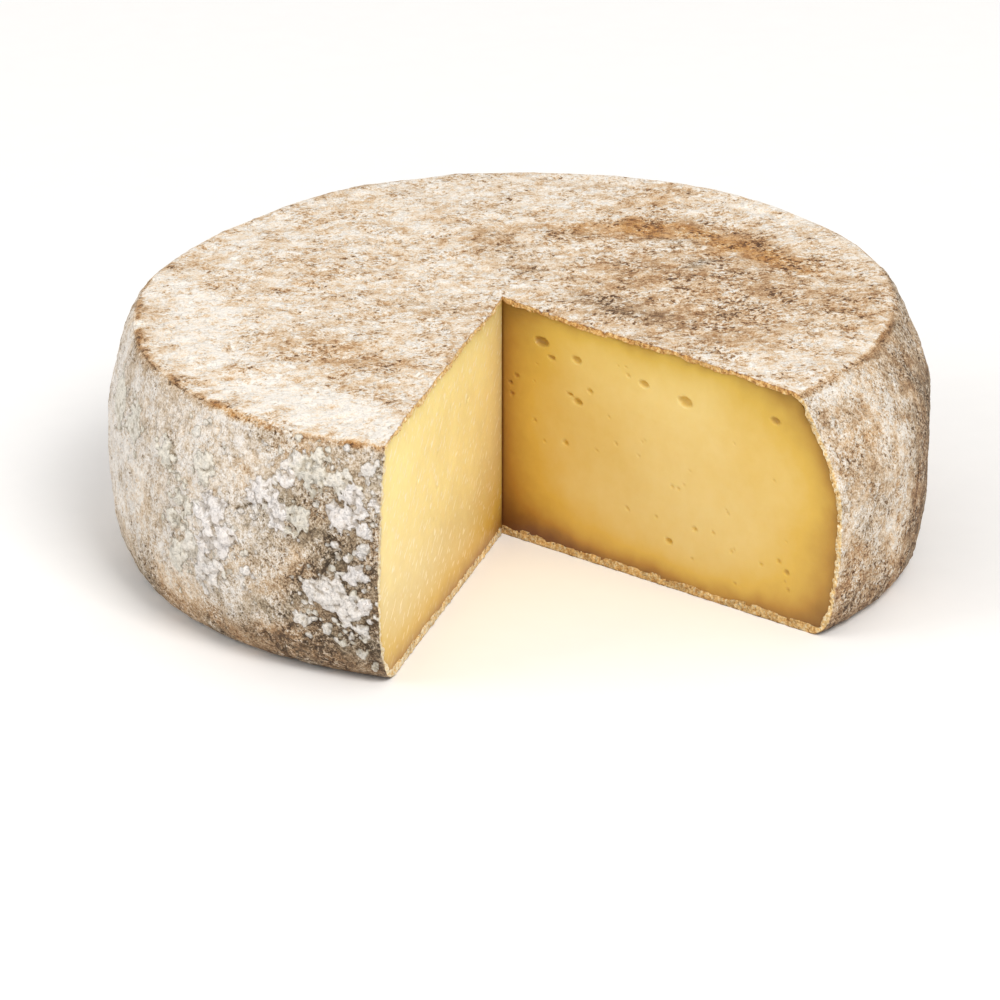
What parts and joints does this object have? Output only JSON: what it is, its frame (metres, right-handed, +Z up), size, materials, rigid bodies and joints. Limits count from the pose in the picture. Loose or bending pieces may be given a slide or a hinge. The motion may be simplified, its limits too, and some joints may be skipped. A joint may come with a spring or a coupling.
{
  "type": "wheel of tomme cheese with a wedge cut out",
  "caption": "Round wheel of natural-rind cow's milk tomme with a wedge cut out, for food displays, kitchens and shop scenes.",
  "frame": {"origin": "on the flat underside's plane, under the centre of the wheel's bounding box", "axes": "+Z up along the wheel's axis; the wedge is missing towards -Y, +X to the right as seen from that side"},
  "size_m": [0.201, 0.1824, 0.0663],
  "materials": {
    "rind": "dry, dull, mottled grey-brown natural rind with white mould bloom",
    "paste": "pale yellow cut cheese, soft sheen, with small eyes"
  },
  "bodies": {
    "root": {"tomme_wheel": "rind"}
  },
  "joints": []
}
